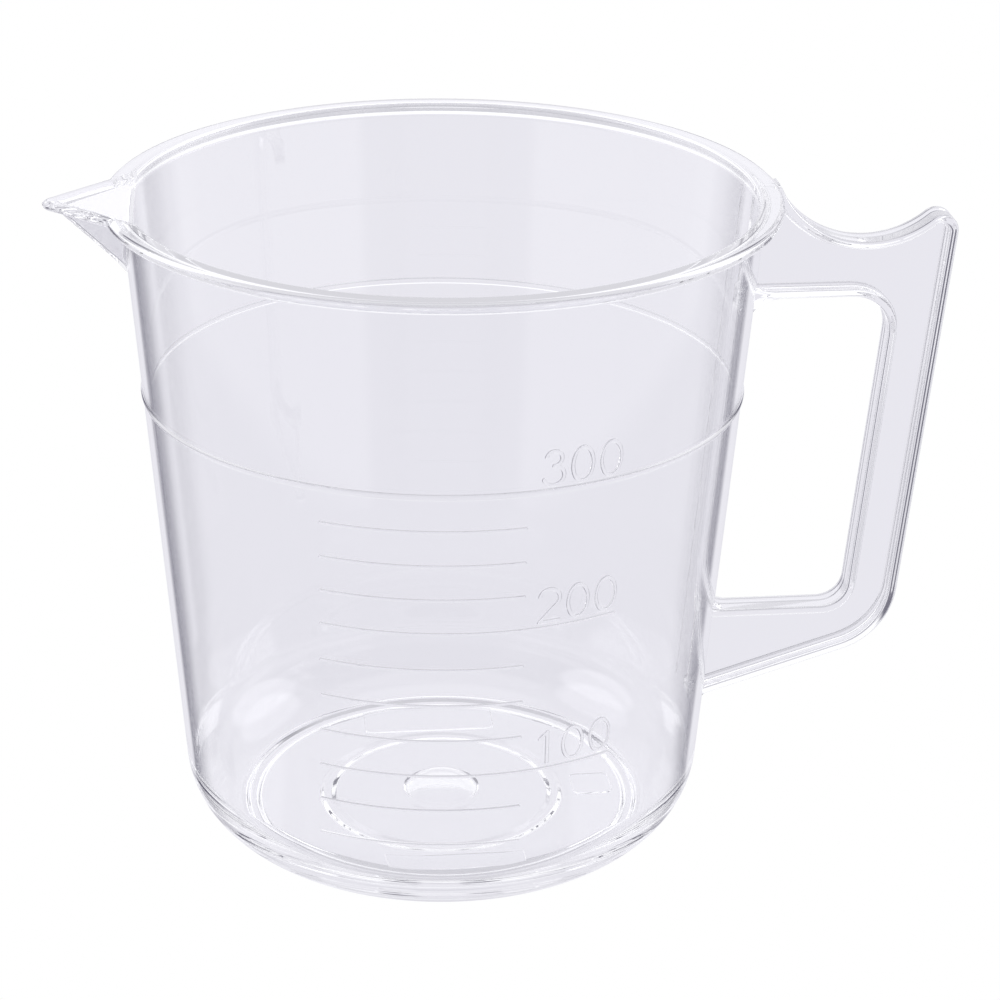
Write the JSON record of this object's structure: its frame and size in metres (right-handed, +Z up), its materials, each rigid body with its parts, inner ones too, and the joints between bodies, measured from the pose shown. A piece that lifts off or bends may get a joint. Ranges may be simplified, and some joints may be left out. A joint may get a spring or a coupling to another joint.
{
  "type": "handled measuring beaker",
  "caption": "Clear plastic measuring beaker with a flanged rim, V-shaped pouring spout, I-section handle and raised graduation lines up to 300 ml.",
  "frame": {"origin": "middle of the outline in X and Y, on the surface that the foot ring rests on", "axes": "+Z up; the handle points along +X and the pouring spout along -X; the graduation lines face -Y"},
  "size_m": [0.126, 0.0926, 0.095],
  "materials": {
    "clear_plastic": "clear, glossy moulded plastic"
  },
  "bodies": {
    "root": {"base_floor": "clear_plastic", "foot_ring": "clear_plastic", "inner_base_ring": "clear_plastic", "gate_dome": "clear_plastic", "front_base_pad": "clear_plastic", "rear_base_pad": "clear_plastic", "side_base_pad": "clear_plastic", "vessel_wall": "clear_plastic", "rim_flange": "clear_plastic", "spout_front_side": "clear_plastic", "spout_rear_side": "clear_plastic", "spout_lip": "clear_plastic", "handle_web": "clear_plastic", "handle_outer_rib": "clear_plastic", "handle_window_rib": "clear_plastic", "ring_300": "clear_plastic", "mark_200": "clear_plastic", "mark_100": "clear_plastic", "short_marks": "clear_plastic", "numeral_300": "clear_plastic", "numeral_200": "clear_plastic", "numeral_100": "clear_plastic"}
  },
  "joints": []
}
